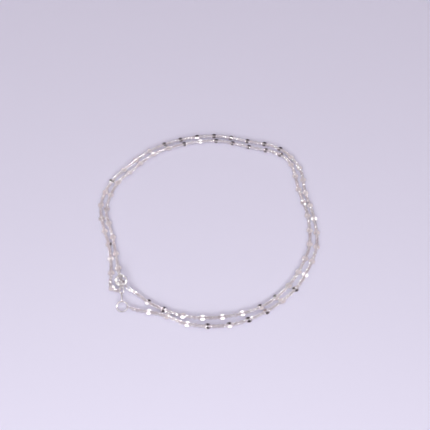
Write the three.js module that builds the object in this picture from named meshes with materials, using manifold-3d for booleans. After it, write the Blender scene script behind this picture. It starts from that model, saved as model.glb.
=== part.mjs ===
// A fine silver chain necklace with pressed oval stations and a spring ring clasp, fastened, folded in two
// and laid down as a double ring of chain.
// Millimetres, +Z up. The origin is on the surface the necklace lies on, under the middle of the loop.
// -Y is the near side, where the clasp lies to the left.
import * as THREE from 'three';
import { mergeVertices } from 'three/addons/utils/BufferGeometryUtils.js';
import Module from 'manifold-3d';

const wasm = await Module();
wasm.setup();

// Outline of the loop as it lies, left to right and near to far
const LOOP_WIDTH = 88.2;
const LOOP_DEPTH = 96.5;

// Chain: small round links, with one wide pressed link, the station, after every seven of them
const CHAIN_WIDTH = 1.25;
const STATION_WIDTH = 2.5;
const STATION_LENGTH = 1.8;
const STATION_THICKNESS = 0.3;
const STATION_CORNER = 0.55;
const MEETING_GAP = 0.4;

// Last link of each chain end
const END_LINK_LENGTH = 2.2;
const END_LINK_WIDTH = 1.5;
const END_LINK_WIRE = 0.3;

// Spring ring: a hollow ring with a mouth that a sprung bolt closes
const RING_DIAMETER = 5.0;
const RING_TUBE = 1.1;
const RING_BORE = 0.8;
const BOLT_DIAMETER = 0.56;
const MOUTH_FROM = -20;
const MOUTH_TO = 65;
const BOLT_TIP_DEPTH = 5;
const BOLT_TAIL_DEPTH = 52;
const BOLT_TRAVEL = 60;
const KNOB_ANGLE = 81;
const KNOB_STEM = 0.3;
const KNOB_HEAD = 0.62;
const KNOB_TOP = 0.48;
const KNOB_HEAD_HEIGHT = 0.34;
const KNOB_PROUD = 0.08;
const SLOT_CLEARANCE = 0.1;

// Eye, soldered to the spring ring
const EYE_LENGTH = 3.0;
const EYE_WIDTH = 1.9;
const EYE_WIRE = 0.4;
const EYE_SINK = 0.12;

// Oval connecting link, end ring and hook ring
const CONNECTOR_LENGTH = 4.8;
const CONNECTOR_WIDTH = 2.2;
const CONNECTOR_WIRE = 0.4;
const END_RING_DIAMETER = 4.5;
const END_RING_WIRE = 0.5;
const HOOK_RING_DIAMETER = 2.8;
const HOOK_RING_WIRE = 0.4;
const LINK_CLEARANCE = 0.12;

// How the clasp lies on the chain
const CLASP_AT = [-0.3628 * LOOP_WIDTH, -0.2963 * LOOP_DEPTH];
const CLASP_TURN = 5;
const RING_TILT = 10;
const RING_REST_GAP = 0.1;
const END_RING_FAR_HEIGHT = 1.0;
const END_HOOK_ANGLE = -10;
const HOOK_ANGLE = -50;
const HOOK_HANG = 0.15;
const HOOK_LINK_DIP = 15;

// Facets
const CHAIN_SIDES = 8;
const WIRE_SIDES = 6;
const LINK_SIDES = 12;
const RING_SIDES = 16;
const RING_TUBE_SIDES = 10;
const BORE_SIDES = 8;
const ARC_STEP_DEGREES = 15;
const KNOB_SIDES = 12;
const SLOT_END_SEGMENTS = 5;
const STEPS_PER_STRETCH = 1.5;

// Points closer than this are one point of a solid
const MERGE_DISTANCE = 1e-4;

const CHAIN_HEIGHT = CHAIN_WIDTH / 2;

// A point on the chain's middle line, as shares of the loop's outline from its middle
function onLoop(x, y, stations) {
  return { x: x * LOOP_WIDTH, y: y * LOOP_DEPTH, stations };
}

// A point on the chain's middle line, in ring diameters from the middle of the spring ring
function nearClasp(x, y, stations) {
  return { x: CLASP_AT[0] + x * RING_DIAMETER, y: CLASP_AT[1] + y * RING_DIAMETER, stations };
}

// Routes of the two runs of chain, from the clasp to where they meet in the fold under it. Each row is a
// point and how many stations the stretch up to it holds, evenly spaced, the last one at the point itself.
// The first point of each run comes from the ring that it hooks on.
const OUTER_ROUTE = [
  nearClasp(1.34, -2.36, 0),
  onLoop(-0.2404, -0.4259, 1),
  onLoop(-0.1640, -0.4446, 1),
  onLoop(-0.0812, -0.4786, 1),
  onLoop(0.0910, -0.4824, 2),
  onLoop(0.2431, -0.4243, 2),
  onLoop(0.3692, -0.3255, 2),
  onLoop(0.4161, -0.2590, 1),
  onLoop(0.4763, -0.1253, 2),
  onLoop(0.4781, 0.0176, 2),
  onLoop(0.4491, 0.1566, 2),
  onLoop(0.4316, 0.2960, 2),
  onLoop(0.3453, 0.4078, 2),
  onLoop(0.1893, 0.4549, 2),
  onLoop(0.0274, 0.4858, 2),
  onLoop(-0.1355, 0.4633, 2),
  onLoop(-0.2835, 0.3952, 2),
  onLoop(-0.3990, 0.2841, 2),
  onLoop(-0.4491, 0.2221, 1),
  onLoop(-0.4885, 0.0894, 2),
  onLoop(-0.4588, -0.0461, 2),
  onLoop(-0.4343, -0.1122, 1),
  onLoop(-0.4115, -0.2499, 2),
  nearClasp(-0.86, 0.04, 0),
  nearClasp(-0.7, -0.46, 1),
  nearClasp(-0.36, -0.68, 0),
  nearClasp(-0.12, -0.6, 0),
];
const INNER_ROUTE = [
  nearClasp(1.36, -1.08, 0),
  onLoop(-0.2472, -0.3824, 1),
  onLoop(-0.0998, -0.4425, 2),
  onLoop(0.0624, -0.4477, 2),
  onLoop(0.2221, -0.4041, 2),
  onLoop(0.3430, -0.3080, 2),
  onLoop(0.4223, -0.1815, 2),
  onLoop(0.4471, -0.1115, 1),
  onLoop(0.4502, 0.0333, 2),
  onLoop(0.4197, 0.1746, 2),
  onLoop(0.3931, 0.3152, 2),
  onLoop(0.3462, 0.3726, 1),
  onLoop(0.1950, 0.4197, 2),
  onLoop(0.0385, 0.4560, 2),
  onLoop(-0.1161, 0.4368, 2),
  onLoop(-0.2624, 0.3759, 2),
  onLoop(-0.3710, 0.2686, 2),
  onLoop(-0.4216, 0.2116, 1),
  onLoop(-0.4609, 0.0681, 2),
  onLoop(-0.4197, -0.0776, 2),
  onLoop(-0.3837, -0.2264, 2),
  nearClasp(-0.2, 0.64, 0),
  nearClasp(-0.04, 0.14, 1),
];
const MEETING_POINT = nearClasp(0.01, -0.26, 0);

const polishedSilver = { color: 0xdedee2, metalness: 1, roughness: 0.16 };
const satinSilver = { color: 0xd2d0d0, metalness: 1, roughness: 0.3 };

const radians = THREE.MathUtils.degToRad;

// A closed solid for joining and cutting, placed by a matrix
function solidOf(geometry, matrix = new THREE.Matrix4()) {
  const bare = geometry.clone().applyMatrix4(matrix);
  bare.deleteAttribute('normal');
  bare.deleteAttribute('uv');
  const merged = mergeVertices(bare, MERGE_DISTANCE);
  return new wasm.Manifold(new wasm.Mesh({
    numProp: 3,
    vertProperties: Float32Array.from(merged.attributes.position.array),
    triVerts: Uint32Array.from(merged.index.array),
  }));
}

function joined(solids) {
  return solids.reduce((whole, next) => whole.add(next));
}

// A named mesh from a solid or from a geometry
function piece(name, shape, finish) {
  let geometry = shape;
  if (!shape.isBufferGeometry) {
    const mesh = shape.getMesh();
    geometry = new THREE.BufferGeometry();
    geometry.setAttribute('position', new THREE.BufferAttribute(Float32Array.from(mesh.vertProperties), 3));
    geometry.setIndex(new THREE.BufferAttribute(Uint32Array.from(mesh.triVerts), 1));
    geometry.computeVertexNormals();
  }
  const made = new THREE.Mesh(geometry, new THREE.MeshStandardMaterial(finish));
  made.name = name;
  return made;
}

// A regular section whose flats, not corners, stand at the given radius
function section(radius, sides) {
  const corner = radius / Math.cos(Math.PI / sides);
  const shape = new THREE.Shape();
  for (let i = 0; i < sides; i += 1) {
    const angle = (i + 0.5) * 2 * Math.PI / sides;
    const point = [corner * Math.cos(angle), corner * Math.sin(angle)];
    if (i === 0) shape.moveTo(...point);
    else shape.lineTo(...point);
  }
  shape.closePath();
  return shape;
}

// Part of a circle about Z, in degrees
class ArcPath extends THREE.Curve {
  constructor(radius, from, to) {
    super();
    this.radius = radius;
    this.from = from;
    this.to = to;
  }

  getPoint(t, target = new THREE.Vector3()) {
    const angle = radians(THREE.MathUtils.lerp(this.from, this.to, t));
    return target.set(this.radius * Math.cos(angle), this.radius * Math.sin(angle), 0);
  }
}

// A tube bent round Z from one angle to another, in degrees
function arcTube(radius, tubeRadius, from, to, sides) {
  return new THREE.ExtrudeGeometry(section(tubeRadius, sides), {
    extrudePath: new ArcPath(radius, from, to),
    steps: Math.max(2, Math.round((to - from) / ARC_STEP_DEGREES)),
    bevelEnabled: false,
  });
}

// A closed wire loop in the XY plane, round or drawn out along Y
function wireLoop(length, width, wire, sides = LINK_SIDES) {
  const loop = new THREE.TorusGeometry((width - wire) / 2, wire / 2, WIRE_SIDES, sides);
  loop.rotateZ(Math.PI / sides);
  const stretch = (length - width) / 2;
  const position = loop.attributes.position;
  for (let i = 0; i < position.count; i += 1) {
    position.setY(i, position.getY(i) + Math.sign(position.getY(i)) * stretch);
  }
  return loop;
}

function pointOf({ x, y, z = CHAIN_HEIGHT }) {
  return new THREE.Vector3(x, y, z);
}

// A smooth route through its points, never lower than a chain lying on the surface. Steps along it follow
// the points, so tight bends get short steps.
class Route extends THREE.CatmullRomCurve3 {
  getPoint(t, target = new THREE.Vector3()) {
    super.getPoint(t, target);
    return target.setZ(Math.max(target.z, CHAIN_HEIGHT));
  }

  getUtoTmapping(u) {
    return u * this.reach;
  }

  // One flat of the section stays level, so that the chain has a flat underside to lie on
  computeFrenetFrames(segments) {
    const frames = { tangents: [], normals: [], binormals: [] };
    for (let i = 0; i <= segments; i += 1) {
      const tangent = this.getTangentAt(i / segments);
      const normal = new THREE.Vector3(0, 0, 1).addScaledVector(tangent, -tangent.z).normalize();
      frames.tangents.push(tangent);
      frames.normals.push(normal);
      frames.binormals.push(new THREE.Vector3().crossVectors(tangent, normal));
    }
    return frames;
  }

  // The share of the route that leaves the given length free at its end
  stopShortBy(length) {
    const stretches = this.points.length - 1;
    const last = this.points[stretches].distanceTo(this.points[stretches - 1]);
    this.reach = 1 - length / last / stretches;
  }
}

// One pressed station link: a flat plate with rounded corners, wide across the chain
function stationPlate() {
  const halfLength = STATION_LENGTH / 2;
  const halfWidth = STATION_WIDTH / 2;
  const cut = STATION_CORNER;
  const outline = new THREE.Shape([
    new THREE.Vector2(halfLength, halfWidth - cut),
    new THREE.Vector2(halfLength - cut, halfWidth),
    new THREE.Vector2(cut - halfLength, halfWidth),
    new THREE.Vector2(-halfLength, halfWidth - cut),
    new THREE.Vector2(-halfLength, cut - halfWidth),
    new THREE.Vector2(cut - halfLength, -halfWidth),
    new THREE.Vector2(halfLength - cut, -halfWidth),
    new THREE.Vector2(halfLength, cut - halfWidth),
  ]);
  const plate = new THREE.ExtrudeGeometry(outline, { depth: STATION_THICKNESS, bevelEnabled: false });
  return plate.translate(0, 0, -STATION_THICKNESS / 2);
}

// A run of chain: its tube, its stations and the last link that hooks it to its ring
function chainRun(rows, start, lastLink) {
  const route = new Route([start, ...rows.map(pointOf), pointOf(MEETING_POINT)]);
  route.stopShortBy(MEETING_GAP / 2);
  const stretches = rows.length + 1;
  const tube = new THREE.ExtrudeGeometry(section(CHAIN_WIDTH / 2, CHAIN_SIDES), {
    extrudePath: route,
    steps: Math.round(stretches * STEPS_PER_STRETCH),
    bevelEnabled: false,
  });
  const solids = [solidOf(tube), lastLink];
  const plate = stationPlate();
  rows.forEach(({ stations }, row) => {
    for (let i = 1; i <= stations; i += 1) {
      const t = (row + i / stations) / stretches;
      const at = route.getPoint(t);
      const along = route.getTangent(t);
      const place = new THREE.Matrix4().makeRotationZ(Math.atan2(along.y, along.x)).setPosition(at);
      solids.push(solidOf(plate, place));
    }
  });
  return joined(solids);
}

// The clasp is worked out in its own frame: the spring ring's middle above the origin, the eye towards -Y
const ringRadius = (RING_DIAMETER - RING_TUBE) / 2;
const ringTilt = radians(RING_TILT);
const ringHeight = CHAIN_WIDTH + RING_REST_GAP + RING_TUBE / 2 + ringRadius * Math.sin(ringTilt);
const claspFrame = new THREE.Matrix4().makeRotationZ(radians(CLASP_TURN)).setPosition(...CLASP_AT, 0);
const ringFrame = new THREE.Matrix4().makeRotationX(ringTilt).setPosition(0, 0, ringHeight);

function springRing() {
  const end = MOUTH_FROM + 360;
  const boreFrom = MOUTH_TO - BOLT_TIP_DEPTH;
  const boreTo = end + BOLT_TIP_DEPTH;
  const tube = solidOf(arcTube(ringRadius, RING_TUBE / 2, MOUTH_TO, end, RING_TUBE_SIDES));
  const bore = solidOf(arcTube(ringRadius, RING_BORE / 2, boreFrom, boreTo, BORE_SIDES));

  const slotHalfWidth = KNOB_STEM / 2 + SLOT_CLEARANCE;
  const slotEnd = THREE.MathUtils.radToDeg(slotHalfWidth / ringRadius);
  const slotFrom = radians(KNOB_ANGLE - slotEnd);
  const slotTo = radians(KNOB_ANGLE + BOLT_TRAVEL + slotEnd);
  const slotShape = new THREE.Shape();
  slotShape.absarc(0, 0, ringRadius + slotHalfWidth, slotFrom, slotTo, false);
  slotShape.absarc(0, 0, ringRadius - slotHalfWidth, slotTo, slotFrom, true);
  slotShape.closePath();
  const slot = new THREE.ExtrudeGeometry(slotShape, {
    depth: RING_TUBE, bevelEnabled: false, curveSegments: SLOT_END_SEGMENTS,
  });

  const eyeMiddle = -(RING_DIAMETER / 2 - EYE_SINK + EYE_LENGTH / 2);
  const eye = wireLoop(EYE_LENGTH, EYE_WIDTH, EYE_WIRE).translate(0, eyeMiddle, 0);
  return tube.add(solidOf(eye)).subtract(bore).subtract(solidOf(slot));
}

// The bolt closes the mouth, and its thumb knob stands up through the slot
function latchBolt() {
  const from = MOUTH_FROM - BOLT_TIP_DEPTH;
  const to = MOUTH_TO + BOLT_TAIL_DEPTH;
  const bolt = solidOf(arcTube(ringRadius, BOLT_DIAMETER / 2, from, to, BORE_SIDES));
  const angle = radians(KNOB_ANGLE);
  const stemTop = RING_TUBE / 2 + KNOB_PROUD;
  const stem = new THREE.CylinderGeometry(KNOB_STEM / 2, KNOB_STEM / 2, stemTop + KNOB_PROUD, KNOB_SIDES);
  const head = new THREE.CylinderGeometry(KNOB_TOP / 2, KNOB_HEAD / 2, KNOB_HEAD_HEIGHT, KNOB_SIDES);
  stem.rotateX(Math.PI / 2).translate(0, 0, (stemTop + KNOB_PROUD) / 2);
  head.rotateX(Math.PI / 2).translate(0, 0, stemTop + KNOB_HEAD_HEIGHT / 2);
  const place = new THREE.Matrix4().makeTranslation(
    ringRadius * Math.cos(angle), ringRadius * Math.sin(angle), 0);
  return joined([bolt, solidOf(stem, place), solidOf(head, place)]);
}

// Where the wire of the eye's far end runs, and from it the connector, the end ring and the first hook point
const eyeEndReach = RING_DIAMETER / 2 - EYE_SINK + EYE_LENGTH - EYE_WIRE / 2;
const eyeEnd = new THREE.Vector3(0, -eyeEndReach, 0).applyMatrix4(ringFrame);
const connectorHeight = CONNECTOR_WIDTH / 2;
const connectorBend = (CONNECTOR_WIDTH - CONNECTOR_WIRE) / 2;
const connectorStraight = (CONNECTOR_LENGTH - CONNECTOR_WIDTH) / 2;

// How far from the middle of a bend a wire at the given height can lie inside the connector
function seatInConnector(wire, height) {
  const room = connectorBend - CONNECTOR_WIRE / 2 - wire / 2 - LINK_CLEARANCE;
  const offset = height - connectorHeight;
  return Math.sqrt(Math.max(0, room * room - offset * offset));
}
const connectorY = eyeEnd.y - connectorStraight - seatInConnector(EYE_WIRE, eyeEnd.z);
const endRingRadius = (END_RING_DIAMETER - END_RING_WIRE) / 2;
const endRingFarY = connectorY - connectorStraight - seatInConnector(END_RING_WIRE, END_RING_FAR_HEIGHT);
const endRingLow = END_RING_WIRE / 2 + LINK_CLEARANCE;
const endRingTilt = Math.asin((END_RING_FAR_HEIGHT - endRingLow) / (2 * endRingRadius));
const endRingAt = new THREE.Vector3(0, endRingFarY - endRingRadius * Math.cos(endRingTilt),
  (END_RING_FAR_HEIGHT + endRingLow) / 2);

// The hook ring hangs on the spring ring's tube, in an upright plane through the ring's middle
const hookRadius = (HOOK_RING_DIAMETER - HOOK_RING_WIRE) / 2;
const hookDirection = radians(HOOK_ANGLE);
const hookSeat = new THREE.Vector3(
  ringRadius * Math.cos(hookDirection), ringRadius * Math.sin(hookDirection), 0).applyMatrix4(ringFrame);
const hookRoom = hookRadius - HOOK_RING_WIRE / 2 - RING_TUBE / 2 - LINK_CLEARANCE;
const hookOut = Math.sqrt(Math.max(0, hookRoom * hookRoom - HOOK_HANG * HOOK_HANG));
const hookPlan = Math.hypot(hookSeat.x, hookSeat.y) + hookOut;
const hookHeading = Math.atan2(hookSeat.y, hookSeat.x);
const hookHeight = hookSeat.z - HOOK_HANG;

// The last link of a run, and where the run's tube starts on it. The link holds the given wire at its near
// end, points along a heading, dips below level, and stands upright or lies flat.
function lastLink(wireAt, heldWire, heading, dip, upright) {
  const hold = END_LINK_LENGTH / 2 - END_LINK_WIRE - heldWire / 2 - LINK_CLEARANCE;
  const level = Math.cos(dip);
  const out = new THREE.Vector3(Math.cos(heading) * level, Math.sin(heading) * level, -Math.sin(dip));
  const middle = wireAt.clone().addScaledVector(out, hold);
  const side = new THREE.Vector3(-Math.sin(heading), Math.cos(heading), 0);
  const up = new THREE.Vector3().crossVectors(out, side);
  const frame = upright
    ? new THREE.Matrix4().makeBasis(up, out, side)
    : new THREE.Matrix4().makeBasis(side, out, up.negate());
  frame.setPosition(middle);
  const solid = solidOf(wireLoop(END_LINK_LENGTH, END_LINK_WIDTH, END_LINK_WIRE), frame);
  const start = middle.clone().addScaledVector(out, END_LINK_LENGTH / 2 - END_LINK_WIRE);
  return { solid, start };
}

const endHookAngle = radians(END_HOOK_ANGLE);
const endRingFrame = new THREE.Matrix4().makeRotationX(endRingTilt).setPosition(endRingAt);
const endRingHook = new THREE.Vector3(
  endRingRadius * Math.cos(endHookAngle), endRingRadius * Math.sin(endHookAngle), 0)
  .applyMatrix4(endRingFrame).applyMatrix4(claspFrame);
endRingHook.z = END_LINK_WIDTH / 2;
const outerHeading = Math.atan2(OUTER_ROUTE[0].y - endRingHook.y, OUTER_ROUTE[0].x - endRingHook.x);
const outerLink = lastLink(endRingHook, END_RING_WIRE, outerHeading, 0, true);

const hookDip = radians(HOOK_LINK_DIP);
const hookLinkPlan = hookPlan + hookRadius * Math.cos(hookDip);
const hookLinkAt = new THREE.Vector3(
  hookLinkPlan * Math.cos(hookHeading), hookLinkPlan * Math.sin(hookHeading),
  hookHeight - hookRadius * Math.sin(hookDip)).applyMatrix4(claspFrame);
const innerLink = lastLink(hookLinkAt, HOOK_RING_WIRE, hookHeading + radians(CLASP_TURN), hookDip, false);

const outerRun = piece('chain_outer_run',
  chainRun(OUTER_ROUTE, outerLink.start, outerLink.solid), satinSilver);
const innerRun = piece('chain_inner_run',
  chainRun(INNER_ROUTE, innerLink.start, innerLink.solid), satinSilver);

const ringGroup = new THREE.Group();
ringGroup.position.set(0, 0, ringHeight);
ringGroup.rotation.x = ringTilt;
ringGroup.add(piece('spring_ring', springRing(), polishedSilver));
ringGroup.add(piece('latch_bolt', latchBolt(), polishedSilver));

const connector = piece('connector_link', wireLoop(CONNECTOR_LENGTH, CONNECTOR_WIDTH, CONNECTOR_WIRE),
  polishedSilver);
connector.rotation.y = Math.PI / 2;
connector.position.set(0, connectorY, connectorHeight);

const endRing = piece('end_ring', wireLoop(END_RING_DIAMETER, END_RING_DIAMETER, END_RING_WIRE, RING_SIDES),
  polishedSilver);
endRing.rotation.x = endRingTilt;
endRing.position.copy(endRingAt);

const hookRing = piece('hook_ring', wireLoop(HOOK_RING_DIAMETER, HOOK_RING_DIAMETER, HOOK_RING_WIRE),
  polishedSilver);
hookRing.rotation.set(Math.PI / 2, 0, hookHeading, 'ZYX');
hookRing.position.set(hookPlan * Math.cos(hookHeading), hookPlan * Math.sin(hookHeading), hookHeight);

const clasp = new THREE.Group();
clasp.position.set(...CLASP_AT, 0);
clasp.rotation.z = radians(CLASP_TURN);
clasp.add(ringGroup, connector, endRing, hookRing);

const necklace = new THREE.Group();
necklace.add(outerRun, innerRun, clasp);
const middle = new THREE.Box3().setFromObject(necklace, true).getCenter(new THREE.Vector3());
necklace.position.set(-middle.x, -middle.y, 0);

export default necklace;
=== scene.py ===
"""Looks of the link chain necklace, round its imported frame.

Lengths in this file's constants are millimetres, and angles are degrees, unless a comment says otherwise.
"""
import math
from collections import namedtuple

import bpy
import numpy as np
from mathutils import Matrix, Vector


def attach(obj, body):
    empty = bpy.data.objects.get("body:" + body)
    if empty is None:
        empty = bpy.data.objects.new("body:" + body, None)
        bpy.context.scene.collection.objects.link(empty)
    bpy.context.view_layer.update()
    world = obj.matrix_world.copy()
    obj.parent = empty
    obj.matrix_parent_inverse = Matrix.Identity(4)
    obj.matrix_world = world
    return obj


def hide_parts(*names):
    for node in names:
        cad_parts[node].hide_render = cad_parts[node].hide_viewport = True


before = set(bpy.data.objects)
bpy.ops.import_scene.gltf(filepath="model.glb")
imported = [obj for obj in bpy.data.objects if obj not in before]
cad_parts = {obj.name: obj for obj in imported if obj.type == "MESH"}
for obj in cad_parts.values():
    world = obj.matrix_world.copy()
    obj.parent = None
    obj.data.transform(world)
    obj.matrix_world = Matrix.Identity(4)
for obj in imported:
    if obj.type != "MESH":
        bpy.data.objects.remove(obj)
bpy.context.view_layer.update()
MM = 0.001

# Camera, at the photograph's height and tilt
CAMERA_AT = (3.06, -188.0, 246.0)
CAMERA_DOWN = 52.0
CAMERA_LENS = 65.41
CAMERA_SENSOR = 36.0
CAMERA_NEAR = 10.0

# Chain: how the small links follow each other from one station to the next
CHAIN_WIDTH = 1.25
CHAIN_HEIGHT = CHAIN_WIDTH / 2
LINK_LENGTH = 1.7
LINK_WIDTH = 1.4
LINK_WIRE = 0.38
LINK_PITCH = 0.94
STATION_STEP = 1.02
LINK_ROLL = 31.0
TWIST = 14.0

# How far a row of links may be drawn out past its pitch, and how many links it has at most
LARGEST_STRETCH = 1.02
MOST_LINKS = 13

# How far to either side of a link the route gives its heading
HEADING_REACH = 0.3

# Station: a pressed link with an oval mirror on each side of its slot
MIRROR_LENGTH = 1.8
MIRROR_WIDTH = 1.14
MIRROR_APART = 1.36
MIRROR_THICKNESS = 0.26
MIRROR_EDGE = 0.07
BOW_WIDTH = 0.35
BOW_THICKNESS = 0.24

# How single stations lean towards the near side: their far mirror, then their near one
OUTER_LEANS = {
    1: (-4, -3), 3: (-8, -8), 4: (-7, 1), 5: (-8, -8), 6: (-5, -6), 7: (-4, -3), 8: (-9, -9), 9: (2, 2),
    13: (8, 8), 16: (1.5, 1.5), 17: (2, 2), 18: (3, 3), 19: (-3, -3), 20: (-3, -3), 21: (-3, -3),
    22: (-3, -3), 23: (-3, -1), 24: (-1, 7), 26: (-2, -2), 27: (4, 3), 28: (2, 3), 29: (2, 2), 30: (-3, -1),
    31: (1, 1), 35: (-3.5, 0.5), 38: (3, 0),
}
INNER_LEANS = {
    0: (-8, 0), 1: (-7, -7), 2: (-3, 1), 6: (-7, -3), 7: (-7, -4), 8: (-3, -3), 9: (0.5, 0.5), 16: (2, 2),
    17: (2.5, 2.5), 18: (-3, -3), 19: (-3, -3), 20: (-3, -3), 21: (-3, -3), 22: (-3, -3), 23: (7, 7),
    24: (-2, -2), 25: (3, 3), 26: (8, 2), 27: (3, 2), 28: (2, 2), 29: (1, 1), 30: (1.5, 1.5),
}

# Scatter of the leans, of a whole station and then of each of its mirrors
STATION_SCATTER = 0.6
MIRROR_SCATTER = 0.4 * STATION_SCATTER
SCATTER_SEED = 11

# Last link of each run
END_LINK_LENGTH = 2.2
END_LINK_WIDTH = 1.5
END_LINK_WIRE = 0.3

# Clasp
RING_DIAMETER = 5.0
RING_TUBE = 1.1
RING_BORE = 0.8
BOLT_DIAMETER = 0.56
MOUTH_FROM = -20.0
MOUTH_TO = 65.0
BOLT_TIP_DEPTH = 5.0
BOLT_TAIL_DEPTH = 52.0
BOLT_TRAVEL = 60.0
KNOB_ANGLE = 81.0
KNOB_STEM = 0.3
KNOB_HEAD = 0.62
KNOB_TOP = 0.48
KNOB_HEAD_HEIGHT = 0.34
KNOB_PROUD = 0.08
SLOT_CLEARANCE = 0.1
EYE_LENGTH = 3.0
EYE_WIDTH = 1.9
EYE_WIRE = 0.4
EYE_SINK = 0.12
CONNECTOR_LENGTH = 4.8
CONNECTOR_WIDTH = 2.2
CONNECTOR_WIRE = 0.4
END_RING_DIAMETER = 4.5
END_RING_WIRE = 0.5
HOOK_RING_DIAMETER = 2.8
HOOK_RING_WIRE = 0.4
LINK_CLEARANCE = 0.12

# Plan of the loop, and the shift that puts the middle of the solids' outline on the origin
LOOP_WIDTH = 88.2
LOOP_DEPTH = 96.5
ORIGIN_SHIFT = (0.2571, 0.0881)

# How the clasp lies on the chain
CLASP_AT = (-0.3628 * LOOP_WIDTH, -0.2963 * LOOP_DEPTH)
CLASP_TURN = 5.0
RING_TILT = 10.0
RING_REST_GAP = 0.1
END_RING_FAR_HEIGHT = 1.0
END_HOOK_ANGLE = -10.0
HOOK_ANGLE = -50.0
HOOK_HANG = 0.15
HOOK_LINK_DIP = 15.0

# Silver: the relief of its grain, and the finest detail of the noise that makes it
GRAIN_HEIGHT = 0.02
GRAIN_DETAIL = 3.0

# Tones of the room that the silver mirrors. The first five are stacked from low to high behind the necklace.
SKY_LOW = (0.5, 0.49, 0.5)
DARK_VIOLET = (0.02, 0.011, 0.024)
DARK_RED = (0.085, 0.022, 0.03)
SKY_MIDDLE = (0.68, 0.61, 0.64)
SKY_HIGH = (1.6, 1.57, 1.62)
ROOM_LIGHT = (1.15, 1.12, 1.17)
ROOM_DIM = (0.42, 0.38, 0.40)
ROOM_LOW = (0.10, 0.08, 0.09)
BROWN = (0.62, 0.56, 0.59)
PHOTOGRAPHER = (0.10, 0.05, 0.045)
ROOM_STRENGTH = 1.1

# Where one tone gives way to the next, in the parts of a direction whose length is 1
LOW_ENDS = (0.18, 0.42)
DARK_STARTS = (0.50, 0.57)
MIDDLE_STARTS = (0.745, 0.78)
HIGH_STARTS = (0.825, 0.855)
BEHIND_STARTS = (0.1, 0.45)
BROWN_STARTS = (0.35, 0.7)
BROWN_ENDS = (0.45, 0.65)
PHOTOGRAPHER_STARTS = (0.90, 0.97)

# Patches of the dark and panels of the walls: how fine they are, and where their noise is parted
PATCH_SCALE = 5.0
PATCH_PARTS = (0.52, 0.58)
PANEL_SCALE = 2.6
PANEL_PARTS = (0.47, 0.53)

# Lamps, with their power in watts
KEY_AT = (-30.0, -520.0, 210.0)
KEY_POWER = 2.3
KEY_SIZE = 240.0
SPARKS_AT = ((-300.0, -280.0, 500.0), (340.0, 100.0, 520.0), (-380.0, 160.0, 420.0))
SPARK_POWER = 0.75
SPARK_SIZE = 50.0

# Floor
FLOOR_HALF = 1500.0
FLOOR_COLOR = (0.775, 0.76, 0.905)
FLOOR_ROUGHNESS = 0.8

# Fineness of the meshes
LINK_ROUND = 18
LINK_WIRE_SIDES = 8
MIRROR_ROUND = 26
RING_STEP = 3.0
RING_SIDES = 32
WIRE_SIDES = 16
LOOP_ROUND = 56
SLOT_STEPS = 24
ROUTE_SAMPLES = 24
SHORTEST_KNOT = 1e-4

# Faces with more corners than this are flat caps and mirrors, and edges sharper than this stay sharp
MOST_SMOOTH_CORNERS = 4
SHARP_ANGLE = 38.0

# Places of the second material of a mesh, and of the color sockets on a Mix node
MIRROR_MATERIAL = 1
MIX_UNDER = 6
MIX_OVER = 7
MIX_RESULT = 2

Part = namedtuple("Part", "verts faces matrix material", defaults=[0])
Route = namedtuple("Route", "points along marks")

rng = np.random.default_rng(SCATTER_SEED)


def on_loop(x, y, stations):
    """A point of a route in shares of the loop's outline, with the number of stations on the way to it."""
    return (x * LOOP_WIDTH + ORIGIN_SHIFT[0], y * LOOP_DEPTH + ORIGIN_SHIFT[1], stations)


def near_clasp(x, y, stations):
    """The same for a point in ring diameters from the spring ring's middle."""
    return (CLASP_AT[0] + x * RING_DIAMETER + ORIGIN_SHIFT[0],
            CLASP_AT[1] + y * RING_DIAMETER + ORIGIN_SHIFT[1], stations)


# Routes of the two runs of chain, as the solids' source has them
OUTER_ROUTE = [
    near_clasp(1.34, -2.36, 0), on_loop(-0.2404, -0.4259, 1), on_loop(-0.1640, -0.4446, 1),
    on_loop(-0.0812, -0.4786, 1), on_loop(0.0910, -0.4824, 2), on_loop(0.2431, -0.4243, 2),
    on_loop(0.3692, -0.3255, 2), on_loop(0.4161, -0.2590, 1), on_loop(0.4763, -0.1253, 2),
    on_loop(0.4781, 0.0176, 2), on_loop(0.4491, 0.1566, 2), on_loop(0.4316, 0.2960, 2),
    on_loop(0.3453, 0.4078, 2), on_loop(0.1893, 0.4549, 2), on_loop(0.0274, 0.4858, 2),
    on_loop(-0.1355, 0.4633, 2), on_loop(-0.2835, 0.3952, 2), on_loop(-0.3990, 0.2841, 2),
    on_loop(-0.4491, 0.2221, 1), on_loop(-0.4885, 0.0894, 2), on_loop(-0.4588, -0.0461, 2),
    on_loop(-0.4343, -0.1122, 1), on_loop(-0.4115, -0.2499, 2), near_clasp(-0.86, 0.04, 0),
    near_clasp(-0.7, -0.46, 1), near_clasp(-0.36, -0.68, 0), near_clasp(-0.12, -0.6, 0),
]
INNER_ROUTE = [
    near_clasp(1.36, -1.08, 0), on_loop(-0.2472, -0.3824, 1), on_loop(-0.0998, -0.4425, 2),
    on_loop(0.0624, -0.4477, 2), on_loop(0.2221, -0.4041, 2), on_loop(0.3430, -0.3080, 2),
    on_loop(0.4223, -0.1815, 2), on_loop(0.4471, -0.1115, 1), on_loop(0.4502, 0.0333, 2),
    on_loop(0.4197, 0.1746, 2), on_loop(0.3931, 0.3152, 2), on_loop(0.3462, 0.3726, 1),
    on_loop(0.1950, 0.4197, 2), on_loop(0.0385, 0.4560, 2), on_loop(-0.1161, 0.4368, 2),
    on_loop(-0.2624, 0.3759, 2), on_loop(-0.3710, 0.2686, 2), on_loop(-0.4216, 0.2116, 1),
    on_loop(-0.4609, 0.0681, 2), on_loop(-0.4197, -0.0776, 2), on_loop(-0.3837, -0.2264, 2),
    near_clasp(-0.2, 0.64, 0), near_clasp(-0.04, 0.14, 1),
]
MEETING_POINT = near_clasp(0.01, -0.26, 0)


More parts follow.
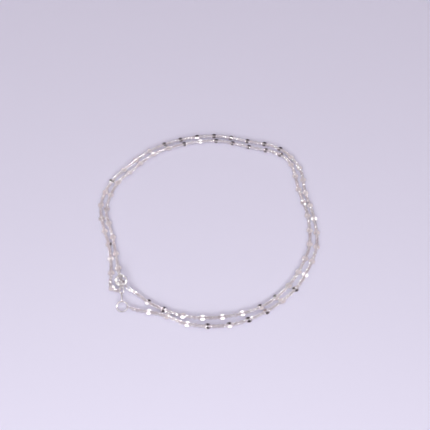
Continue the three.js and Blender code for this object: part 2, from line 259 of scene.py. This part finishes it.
def round_at(radius, angle, z=0.0):
    """The point at an angle, in radians, round the origin."""
    return Vector((radius * math.cos(angle), radius * math.sin(angle), z))


def loft(rings, closed_along, caps):
    """Vertices and faces of a skin over rings with equal counts, all closed round themselves."""
    count = len(rings[0])
    verts = [tuple(p) for ring in rings for p in ring]
    faces = []
    spans = len(rings) if closed_along else len(rings) - 1
    for i in range(spans):
        a = i * count
        b = (i + 1) % len(rings) * count
        for j in range(count):
            k = (j + 1) % count
            faces.append((a + j, a + k, b + k, b + j))
    if caps:
        faces.append(tuple(reversed(range(count))))
        faces.append(tuple(range((len(rings) - 1) * count, len(rings) * count)))
    return verts, faces


def swept(path, across, lift, radius_across, radius_lift, sides, closed):
    """A tube with an elliptic section along a path, from the section's two directions at each point."""
    angles = [-2 * math.pi * j / sides for j in range(sides)]
    rings = [[p + a * (radius_across * math.cos(w)) + n * (radius_lift * math.sin(w)) for w in angles]
             for p, a, n in zip(path, across, lift)]
    return loft(rings, closed, not closed)


def wire_loop(length, width, wire, round_steps, sides):
    """A closed wire loop in the XY plane, drawn out along Y."""
    radius = (width - wire) / 2
    stretch = (length - width) / 2
    across = [round_at(1.0, 2 * math.pi * (i + 0.5) / round_steps) for i in range(round_steps)]
    path = [out * radius + Vector((0, math.copysign(stretch, out.y), 0)) for out in across]
    return swept(path, across, [Vector((0, 0, 1))] * round_steps, wire / 2, wire / 2, sides, True)


def arc_tube(radius, tube_radius, start, end, sides):
    """A round tube along an arc about Z, with flat ends."""
    steps = max(2, round((end - start) / RING_STEP))
    path = [round_at(radius, math.radians(start + (end - start) * i / steps)) for i in range(steps + 1)]
    across = [p.normalized() for p in path]
    return swept(path, across, [Vector((0, 0, 1))] * len(path), tube_radius, tube_radius, sides, False)


def upright_cone(at, low, high, low_radius, high_radius, sides):
    """A closed cylinder or cone about an upright line, from the height low to the height high."""
    angles = [2 * math.pi * j / sides for j in range(sides)]
    return loft([[at + round_at(radius, w, z) for w in angles]
                 for z, radius in ((low, low_radius), (high, high_radius))], False, True)


def axes_frame(at, x, y, z):
    """The matrix with its origin and the directions of its axes."""
    return Matrix(((x.x, y.x, z.x, at.x), (x.y, y.y, z.y, at.y), (x.z, y.z, z.z, at.z), (0, 0, 0, 1)))


def placed(parent, at, *turns):
    """A frame inside another: moved, then turned by each (angle, axis) in turn."""
    made = parent @ Matrix.Translation(at)
    for angle, axis in turns:
        made = made @ Matrix.Rotation(math.radians(angle), 4, axis)
    return made


def object_of(name, parts, materials):
    """One mesh object, in metres, from parts in millimetres."""
    verts = []
    faces = []
    numbers = []
    for part in parts:
        first = len(verts)
        turn = np.array(part.matrix, float)
        verts.extend((np.array(part.verts, float) @ turn[:3, :3].T + turn[:3, 3]) * MM)
        faces.extend([tuple(first + i for i in f) for f in part.faces])
        numbers.extend([part.material] * len(part.faces))
    mesh = bpy.data.meshes.new(name)
    mesh.from_pydata([tuple(v) for v in verts], [], faces)
    for material in materials:
        mesh.materials.append(material)
    mesh.polygons.foreach_set("material_index", numbers)
    mesh.polygons.foreach_set("use_smooth", [len(f) <= MOST_SMOOTH_CORNERS for f in faces])
    mesh.update()
    made = bpy.data.objects.new(name, mesh)
    bpy.context.scene.collection.objects.link(made)
    return made


def cut_or_join(base, other, operation):
    """Applies a boolean to base with other, and removes other."""
    change = base.modifiers.new("cut", "BOOLEAN")
    change.operation = operation
    change.object = other
    change.solver = "EXACT"
    bpy.context.view_layer.update()
    made = bpy.data.meshes.new_from_object(base.evaluated_get(bpy.context.evaluated_depsgraph_get()))
    base.modifiers.clear()
    base.data = made
    bpy.data.objects.remove(other)


def silver(name, color, dull, roughness, spread, grain, bump):
    """Silver with a slightly uneven polish: noise moves the roughness, a fine bump breaks the gloss, and
    each loose link or plate has its own tone between dull and color."""
    material = bpy.data.materials.new(name)
    material.use_nodes = True
    nodes = material.node_tree.nodes
    links = material.node_tree.links
    shader = nodes["Principled BSDF"]
    shader.inputs["Metallic"].default_value = 1.0
    place = nodes.new("ShaderNodeTexCoord")
    noise = nodes.new("ShaderNodeTexNoise")
    noise.inputs["Scale"].default_value = grain
    noise.inputs["Detail"].default_value = GRAIN_DETAIL
    links.new(place.outputs["Object"], noise.inputs["Vector"])
    polish = nodes.new("ShaderNodeMapRange")
    polish.inputs["To Min"].default_value = roughness - spread
    polish.inputs["To Max"].default_value = roughness + spread
    links.new(noise.outputs["Fac"], polish.inputs["Value"])
    links.new(polish.outputs["Result"], shader.inputs["Roughness"])
    tone = nodes.new("ShaderNodeValToRGB")
    tone.color_ramp.elements[0].color = (*dull, 1)
    tone.color_ramp.elements[1].color = (*color, 1)
    piece = nodes.new("ShaderNodeNewGeometry")
    links.new(piece.outputs["Random Per Island"], tone.inputs["Fac"])
    links.new(tone.outputs["Color"], shader.inputs["Base Color"])
    relief = nodes.new("ShaderNodeBump")
    relief.inputs["Strength"].default_value = bump
    relief.inputs["Distance"].default_value = GRAIN_HEIGHT * MM
    links.new(noise.outputs["Fac"], relief.inputs["Height"])
    links.new(relief.outputs["Normal"], shader.inputs["Normal"])
    return material


mirror_silver = silver("station_mirror", color=(0.93, 0.915, 0.92), dull=(0.84, 0.80, 0.81),
                       roughness=0.06, spread=0.03, grain=900, bump=0.04)
link_silver = silver("chain_links", color=(1.0, 0.98, 0.99), dull=(0.88, 0.83, 0.845),
                     roughness=0.12, spread=0.06, grain=2600, bump=0.14)
clasp_silver = silver("clasp_polish", color=(0.95, 0.94, 0.93), dull=(0.90, 0.88, 0.87),
                      roughness=0.08, spread=0.04, grain=1400, bump=0.06)

# Where the clasp's pieces lie, worked out as in the solids' source. The eye is towards the clasp's own -Y.
ring_radius = (RING_DIAMETER - RING_TUBE) / 2
ring_tilt = math.radians(RING_TILT)
ring_height = CHAIN_WIDTH + RING_REST_GAP + RING_TUBE / 2 + ring_radius * math.sin(ring_tilt)
clasp_frame = placed(Matrix(), (CLASP_AT[0] + ORIGIN_SHIFT[0], CLASP_AT[1] + ORIGIN_SHIFT[1], 0),
                     (CLASP_TURN, "Z"))
ring_in_clasp = placed(Matrix(), (0, 0, ring_height), (RING_TILT, "X"))
ring_frame = clasp_frame @ ring_in_clasp

eye_end = ring_in_clasp @ Vector((0, -(RING_DIAMETER / 2 - EYE_SINK + EYE_LENGTH - EYE_WIRE / 2), 0))
connector_height = CONNECTOR_WIDTH / 2
connector_straight = (CONNECTOR_LENGTH - CONNECTOR_WIDTH) / 2


def seat_in_connector(wire, height):
    """How far from the middle of a bend a wire at the given height can lie inside the connector."""
    room = (CONNECTOR_WIDTH - CONNECTOR_WIRE) / 2 - CONNECTOR_WIRE / 2 - wire / 2 - LINK_CLEARANCE
    return math.sqrt(max(0.0, room ** 2 - (height - connector_height) ** 2))


connector_y = eye_end.y - connector_straight - seat_in_connector(EYE_WIRE, eye_end.z)
connector_frame = placed(clasp_frame, (0, connector_y, connector_height), (90, "Y"))

end_ring_radius = (END_RING_DIAMETER - END_RING_WIRE) / 2
end_ring_far_y = connector_y - connector_straight - seat_in_connector(END_RING_WIRE, END_RING_FAR_HEIGHT)
end_ring_low = END_RING_WIRE / 2 + LINK_CLEARANCE
end_ring_tilt = math.asin((END_RING_FAR_HEIGHT - end_ring_low) / (2 * end_ring_radius))
end_ring_y = end_ring_far_y - end_ring_radius * math.cos(end_ring_tilt)
end_ring_frame = placed(clasp_frame, (0, end_ring_y, (END_RING_FAR_HEIGHT + end_ring_low) / 2),
                        (math.degrees(end_ring_tilt), "X"))

hook_radius = (HOOK_RING_DIAMETER - HOOK_RING_WIRE) / 2
hook_seat = ring_in_clasp @ round_at(ring_radius, math.radians(HOOK_ANGLE))
hook_room = hook_radius - HOOK_RING_WIRE / 2 - RING_TUBE / 2 - LINK_CLEARANCE
hook_plan = math.hypot(hook_seat.x, hook_seat.y) + math.sqrt(max(0.0, hook_room ** 2 - HOOK_HANG ** 2))
hook_heading = math.atan2(hook_seat.y, hook_seat.x)
hook_height = hook_seat.z - HOOK_HANG
hook_ring_frame = placed(clasp_frame, round_at(hook_plan, hook_heading, hook_height),
                         (math.degrees(hook_heading), "Z"), (90, "X"))


def last_link(wire_at, held_wire, heading, dip, upright):
    """The last link of a run, and where the run starts on it. The link holds the given wire at its near end,
    points along a heading, dips below level, and stands upright or lies flat."""
    inner_half = END_LINK_LENGTH / 2 - END_LINK_WIRE
    out = round_at(math.cos(dip), heading, -math.sin(dip))
    side = Vector((-math.sin(heading), math.cos(heading), 0))
    up = out.cross(side)
    middle = wire_at + out * (inner_half - held_wire / 2 - LINK_CLEARANCE)
    wire = wire_loop(END_LINK_LENGTH, END_LINK_WIDTH, END_LINK_WIRE, LINK_ROUND * 2, WIRE_SIDES)
    link_frame = axes_frame(middle, up, out, side) if upright else axes_frame(middle, side, out, -up)
    return Part(*wire, link_frame), middle + out * inner_half


def outer_last_link():
    """The upright link on the end ring."""
    wire_at = end_ring_frame @ round_at(end_ring_radius, math.radians(END_HOOK_ANGLE))
    wire_at.z = END_LINK_WIDTH / 2
    heading = math.atan2(OUTER_ROUTE[0][1] - wire_at.y, OUTER_ROUTE[0][0] - wire_at.x)
    return last_link(wire_at, END_RING_WIRE, heading, 0.0, True)


def inner_last_link():
    """The flat link that hangs on the hook ring."""
    dip = math.radians(HOOK_LINK_DIP)
    plan = hook_plan + hook_radius * math.cos(dip)
    wire_at = clasp_frame @ round_at(plan, hook_heading, hook_height - hook_radius * math.sin(dip))
    return last_link(wire_at, HOOK_RING_WIRE, hook_heading + math.radians(CLASP_TURN), dip, False)


def route_of(start, rows):
    """A centripetal curve through the rows: its points, with their distances and the stations' along it."""
    knots = [np.array(start)] + [np.array((x, y, CHAIN_HEIGHT)) for x, y, _ in rows]
    knots.append(np.array((MEETING_POINT[0], MEETING_POINT[1], CHAIN_HEIGHT)))
    counts = [0] + [s for _, _, s in rows] + [0]
    last = len(knots) - 1

    def knot_step(a, b):
        return max(math.sqrt(np.linalg.norm(b - a)), SHORTEST_KNOT)

    def at(i, t):
        p1 = knots[i]
        p2 = knots[i + 1]
        p0 = knots[i - 1] if i > 0 else 2 * p1 - p2
        p3 = knots[i + 2] if i + 2 <= last else 2 * p2 - p1
        d0 = knot_step(p0, p1)
        d1 = knot_step(p1, p2)
        d2 = knot_step(p2, p3)
        t1 = ((p1 - p0) / d0 - (p2 - p0) / (d0 + d1) + (p2 - p1) / d1) * d1
        t2 = ((p2 - p1) / d1 - (p3 - p1) / (d1 + d2) + (p3 - p2) / d2) * d1
        point = p1 + t1 * t + (-3 * p1 + 3 * p2 - 2 * t1 - t2) * t * t + (2 * p1 - 2 * p2 + t1 + t2) * t ** 3
        point[2] = max(point[2], CHAIN_HEIGHT)
        return point

    points = [at(0, 0.0)]
    marks = []
    for i in range(last):
        for k in range(1, ROUTE_SAMPLES + 1):
            points.append(at(i, k / ROUTE_SAMPLES))
        for s in range(1, counts[i + 1] + 1):
            marks.append(i * ROUTE_SAMPLES + s * ROUTE_SAMPLES / counts[i + 1])
    points = np.array(points)
    along = np.r_[0, np.cumsum(np.linalg.norm(np.diff(points, axis=0), axis=1))]
    return Route(points, along, [float(np.interp(m, range(len(along)), along)) for m in marks])


def place_on(route, distance, roll):
    """The matrix of a link whose length lies along the route, rolled about it."""
    def point(d):
        return Vector([float(np.interp(d, route.along, route.points[:, k])) for k in range(3)])

    here = point(distance)
    ahead = point(min(distance + HEADING_REACH, route.along[-1]))
    behind = point(max(distance - HEADING_REACH, 0))
    forward = (ahead - behind).normalized()
    side = Vector((0, 0, 1)).cross(forward).normalized()
    return placed(axes_frame(here, side, forward, side.cross(forward)), (0, 0, 0), (roll, "Y"))


def span_links(length, first_step, first_upright):
    """Distances of the small links from a span's start, and which of them stand upright. Upright and lying
    links take turns, and the one before a station is upright."""
    for count in range(1 if first_upright else 2, MOST_LINKS + 1, 2):
        stretch = length / (first_step + STATION_STEP + (count - 1) * LINK_PITCH)
        if stretch <= LARGEST_STRETCH:
            break
    return [((first_step + i * LINK_PITCH) * stretch, first_upright == (i % 2 == 0)) for i in range(count)]


def oval_mirror():
    """One pressed oval with a flat mirror on top, bevelled edges and a flat back."""
    half = MIRROR_THICKNESS / 2
    angles = [2 * math.pi * j / MIRROR_ROUND for j in range(MIRROR_ROUND)]
    rings = []
    for z, inset in ((-half, -MIRROR_EDGE), (-half + MIRROR_EDGE / 2, 0),
                     (half - MIRROR_EDGE / 2, 0), (half, -MIRROR_EDGE)):
        a = MIRROR_LENGTH / 2 + inset
        b = MIRROR_WIDTH / 2 + inset
        rings.append([Vector((b * math.cos(w), a * math.sin(w), z)) for w in angles])
    return loft(rings, False, True)


def bows():
    """The thin ends of a station, one flattened loop that runs into both ovals."""
    radius_y = MIRROR_LENGTH / 2 - BOW_WIDTH / 2
    radius_x = MIRROR_APART / 2
    steps = LINK_ROUND * 2
    angles = [2 * math.pi * (i + 0.5) / steps for i in range(steps)]
    path = [Vector((radius_x * math.cos(w), radius_y * math.sin(w), 0)) for w in angles]
    across = [Vector((radius_y * math.cos(w), radius_x * math.sin(w), 0)).normalized() for w in angles]
    return swept(path, across, [Vector((0, 0, 1))] * steps, BOW_WIDTH / 2, BOW_THICKNESS / 2,
                 LINK_WIRE_SIDES, True)


SMALL_LINK = wire_loop(LINK_LENGTH, LINK_WIDTH, LINK_WIRE, LINK_ROUND, LINK_WIRE_SIDES)
BOWS = bows()
MIRROR = oval_mirror()


def station_parts(matrix, leans):
    """One station: its bows, and its mirrors with their leans, the far one first."""
    parts = [Part(*BOWS, matrix)]
    middles = [matrix @ Vector((side * MIRROR_APART / 2, 0, 0)) for side in (-1, 1)]
    middles.sort(key=lambda p: -p.y)
    heading = matrix.to_3x3().to_4x4()
    for middle, (about_x, about_y) in zip(middles, leans):
        leaning = placed(Matrix(), middle, (about_x, "X"), (about_y, "Y"))
        parts.append(Part(*MIRROR, leaning @ heading, MIRROR_MATERIAL))
    return parts


def station_leans(count, leans):
    """The leans of every station's two mirrors about X and Y, with a little scatter."""
    def scatter():
        return rng.normal(0, MIRROR_SCATTER)

    made = []
    for i in range(count):
        whole = rng.normal(0, STATION_SCATTER, 2)
        made.append([(lean + whole[0] + scatter(), whole[1] + scatter())
                     for lean in leans.get(i, (0.0, 0.0))])
    return made


def run_parts(route, first_upright, leans, until):
    """All links of a run from its start to the meeting point, stations included. Past its last station the
    links go on towards the other run's last one, which would lie at the distance until."""
    parts = []
    last = 0.0
    for number, mark in enumerate(route.marks + [until]):
        first_step = STATION_STEP if number else LINK_LENGTH / 2 - LINK_WIRE
        links = span_links(mark - last, first_step, first_upright or number > 0)
        twist = rng.uniform(-TWIST, TWIST)
        for i, (distance, upright) in enumerate(links):
            if last + distance > route.along[-1]:
                break
            share = (i + 1) / (len(links) + 1)
            roll = (LINK_ROLL if upright else -LINK_ROLL) + twist * math.sin(math.pi * share)
            parts.append(Part(*SMALL_LINK, place_on(route, last + distance, roll)))
        if number < len(route.marks):
            parts += station_parts(place_on(route, mark, 0.0), leans[number])
        last = mark
    return parts


outer_last, outer_start = outer_last_link()
inner_last, inner_start = inner_last_link()
outer = route_of(outer_start, OUTER_ROUTE)
inner = route_of(inner_start, INNER_ROUTE)
fold = (outer.along[-1] - outer.marks[-1]) + (inner.along[-1] - inner.marks[-1])
outer_leans = station_leans(len(outer.marks), OUTER_LEANS)
inner_leans = station_leans(len(inner.marks), INNER_LEANS)
outer_parts = run_parts(outer, False, outer_leans, outer.marks[-1] + fold) + [outer_last]
inner_parts = run_parts(inner, True, inner_leans, inner.marks[-1] + fold) + [inner_last]
outer_links = object_of("outer_run_links", outer_parts, [link_silver, mirror_silver])
inner_links = object_of("inner_run_links", inner_parts, [link_silver, mirror_silver])


def clasp_piece(name, piece_frame, *meshes):
    """One object of the clasp's silver, from meshes in one frame."""
    return object_of(name, [Part(*mesh, piece_frame) for mesh in meshes], [clasp_silver])


def knob_slot():
    """What the knob's slot takes out of the ring: a curved bar from the tube's middle up past its top."""
    half = KNOB_STEM / 2 + SLOT_CLEARANCE
    end = math.degrees(half / ring_radius)
    section = ((ring_radius - half, 0), (ring_radius - half, RING_TUBE),
               (ring_radius + half, RING_TUBE), (ring_radius + half, 0))
    angles = [math.radians(KNOB_ANGLE - end + (BOLT_TRAVEL + 2 * end) * i / SLOT_STEPS)
              for i in range(SLOT_STEPS + 1)]
    return loft([[round_at(r, w, z) for r, z in section] for w in angles], False, True)


def spring_ring():
    """The hollow ring with its eye, from one side of the mouth round to the other."""
    end = MOUTH_FROM + 360
    eye_frame = placed(ring_frame, (0, -(RING_DIAMETER / 2 - EYE_SINK + EYE_LENGTH / 2), 0))
    made = clasp_piece("spring_ring_body", ring_frame,
                       arc_tube(ring_radius, RING_TUBE / 2, MOUTH_TO, end, RING_SIDES))
    eye = clasp_piece("eye", eye_frame, wire_loop(EYE_LENGTH, EYE_WIDTH, EYE_WIRE, LOOP_ROUND, WIRE_SIDES))
    bore = clasp_piece("bore", ring_frame, arc_tube(
        ring_radius, RING_BORE / 2, MOUTH_TO - BOLT_TIP_DEPTH, end + BOLT_TIP_DEPTH, RING_SIDES))
    slot = clasp_piece("slot", ring_frame, knob_slot())
    cut_or_join(made, eye, "UNION")
    cut_or_join(made, bore, "DIFFERENCE")
    cut_or_join(made, slot, "DIFFERENCE")
    edges = made.modifiers.new("edges", "EDGE_SPLIT")
    edges.split_angle = math.radians(SHARP_ANGLE)
    return made


def latch_bolt():
    """The bolt in the bore, with its thumb knob."""
    knob_at = round_at(ring_radius, math.radians(KNOB_ANGLE))
    stem_top = RING_TUBE / 2 + KNOB_PROUD
    head_top = stem_top + KNOB_HEAD_HEIGHT
    return clasp_piece(
        "latch_bolt_polished", ring_frame,
        arc_tube(ring_radius, BOLT_DIAMETER / 2, MOUTH_FROM - BOLT_TIP_DEPTH, MOUTH_TO + BOLT_TAIL_DEPTH,
                 WIRE_SIDES),
        upright_cone(knob_at, 0, stem_top + KNOB_PROUD, KNOB_STEM / 2, KNOB_STEM / 2, WIRE_SIDES),
        upright_cone(knob_at, stem_top, head_top, KNOB_HEAD / 2, KNOB_TOP / 2, RING_SIDES))


ring = spring_ring()
bolt = latch_bolt()
connector = clasp_piece("connector_wire", connector_frame, wire_loop(
    CONNECTOR_LENGTH, CONNECTOR_WIDTH, CONNECTOR_WIRE, LOOP_ROUND, WIRE_SIDES))
end_ring = clasp_piece("end_ring_wire", end_ring_frame, wire_loop(
    END_RING_DIAMETER, END_RING_DIAMETER, END_RING_WIRE, LOOP_ROUND, WIRE_SIDES))
hook_ring = clasp_piece("hook_ring_wire", hook_ring_frame, wire_loop(
    HOOK_RING_DIAMETER, HOOK_RING_DIAMETER, HOOK_RING_WIRE, LOOP_ROUND, WIRE_SIDES))

for piece, node, slot_name, body in (
        (outer_links, "chain_outer_run", "chain", "necklace"),
        (inner_links, "chain_inner_run", "chain", "necklace"),
        (ring, "spring_ring", "clasp", "necklace"),
        (bolt, "latch_bolt", "clasp", "latch"),
        (connector, "connector_link", "rings", "necklace"),
        (end_ring, "end_ring", "rings", "necklace"),
        (hook_ring, "hook_ring", "rings", "necklace")):
    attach(piece, body)
    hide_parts(node)

# Floor
paper = bpy.data.materials.new("paper")
paper.use_nodes = True
paper_shader = paper.node_tree.nodes["Principled BSDF"]
paper_shader.inputs["Base Color"].default_value = (*FLOOR_COLOR, 1)
paper_shader.inputs["Roughness"].default_value = FLOOR_ROUGHNESS
floor_mesh = bpy.data.meshes.new("floor")
floor_mesh.from_pydata([(x * FLOOR_HALF * MM, y * FLOOR_HALF * MM, 0)
                        for x, y in ((-1, -1), (1, -1), (1, 1), (-1, 1))], [], [(0, 1, 2, 3)])
floor_mesh.materials.append(paper)
floor = bpy.data.objects.new("floor", floor_mesh)
bpy.context.scene.collection.objects.link(floor)

# Room that the silver mirrors: panelled walls, a stack of tones behind the necklace, a dark photographer
world = bpy.data.worlds.new("room")
bpy.context.scene.world = world
world.use_nodes = True
room_nodes = world.node_tree.nodes
room_links = world.node_tree.links
direction = room_nodes.new("ShaderNodeTexCoord").outputs["Generated"]
axes = room_nodes.new("ShaderNodeSeparateXYZ")
room_links.new(direction, axes.inputs["Vector"])


def eased(value, limits):
    """A soft 0 to 1 step of a node's output between two values."""
    step = room_nodes.new("ShaderNodeMapRange")
    step.interpolation_type = "SMOOTHSTEP"
    step.inputs["From Min"].default_value = limits[0]
    step.inputs["From Max"].default_value = limits[1]
    room_links.new(value, step.inputs["Value"])
    return step.outputs["Result"]


def combined(operation, *values):
    """A sum or the like of node outputs and plain numbers."""
    made = room_nodes.new("ShaderNodeMath")
    made.operation = operation
    for socket, value in zip(made.inputs, values):
        if isinstance(value, float):
            socket.default_value = value
        else:
            room_links.new(value, socket)
    return made.outputs["Value"]


def blended(factor, under, over):
    """The color over, laid on the color under by a factor."""
    made = room_nodes.new("ShaderNodeMix")
    made.data_type = "RGBA"
    room_links.new(factor, made.inputs["Factor"])
    for socket, value in ((made.inputs[MIX_UNDER], under), (made.inputs[MIX_OVER], over)):
        if isinstance(value, tuple):
            socket.default_value = (*value, 1)
        else:
            room_links.new(value, socket)
    return made.outputs[MIX_RESULT]


def patchy(scale, parts, first, second):
    """Two colors in soft patches over the room."""
    noise = room_nodes.new("ShaderNodeTexNoise")
    noise.inputs["Scale"].default_value = scale
    room_links.new(direction, noise.inputs["Vector"])
    return blended(eased(noise.outputs["Fac"], parts), first, second)


def towards_camera():
    """How nearly a direction is the camera's, 1 where it is the same."""
    made = room_nodes.new("ShaderNodeVectorMath")
    made.operation = "DOT_PRODUCT"
    down = math.radians(CAMERA_DOWN)
    room_links.new(direction, made.inputs[0])
    made.inputs[1].default_value = (0.0, -math.cos(down), math.sin(down))
    return made.outputs["Value"]


behind = patchy(PATCH_SCALE, PATCH_PARTS, DARK_VIOLET, DARK_RED)
behind = blended(eased(axes.outputs["Z"], DARK_STARTS), SKY_LOW, behind)
behind = blended(eased(axes.outputs["Z"], MIDDLE_STARTS), behind, SKY_MIDDLE)
behind = blended(eased(axes.outputs["Z"], HIGH_STARTS), behind, SKY_HIGH)
room = patchy(PANEL_SCALE, PANEL_PARTS, ROOM_DIM, ROOM_LIGHT)
room = blended(eased(axes.outputs["Y"], BEHIND_STARTS), room, behind)
beside = combined("MULTIPLY", eased(combined("ABSOLUTE", axes.outputs["X"]), BROWN_STARTS),
                  combined("SUBTRACT", 1.0, eased(axes.outputs["Z"], BROWN_ENDS)))
room = blended(beside, room, BROWN)
room = blended(eased(axes.outputs["Z"], LOW_ENDS), ROOM_LOW, room)
room = blended(eased(towards_camera(), PHOTOGRAPHER_STARTS), room, PHOTOGRAPHER)
room_links.new(room, room_nodes["Background"].inputs["Color"])
room_nodes["Background"].inputs["Strength"].default_value = ROOM_STRENGTH


def lamp(name, at, power, size):
    """A square lamp that shines at the origin."""
    data = bpy.data.lights.new(name, "AREA")
    data.energy = power
    data.size = size * MM
    made = bpy.data.objects.new(name, data)
    made.location = [v * MM for v in at]
    made.rotation_euler = (-made.location).to_track_quat("-Z", "Y").to_euler()
    bpy.context.scene.collection.objects.link(made)
    return made


# A low soft key from the near side that the silver doesn't mirror, and three lamps that only gloss shows
key = lamp("key", KEY_AT, KEY_POWER, KEY_SIZE)
key.visible_glossy = False
for spark_at in SPARKS_AT:
    spark = lamp("spark", spark_at, SPARK_POWER, SPARK_SIZE)
    spark.visible_diffuse = False

camera_data = bpy.data.cameras.new("camera")
camera_data.sensor_width = CAMERA_SENSOR
camera_data.lens = CAMERA_LENS
camera_data.clip_start = CAMERA_NEAR * MM
camera = bpy.data.objects.new("camera", camera_data)
camera.location = Vector(CAMERA_AT) * MM
camera.rotation_euler = (math.radians(90 - CAMERA_DOWN), 0, 0)
bpy.context.scene.collection.objects.link(camera)
bpy.context.scene.camera = camera
bpy.context.scene.view_settings.view_transform = "Standard"
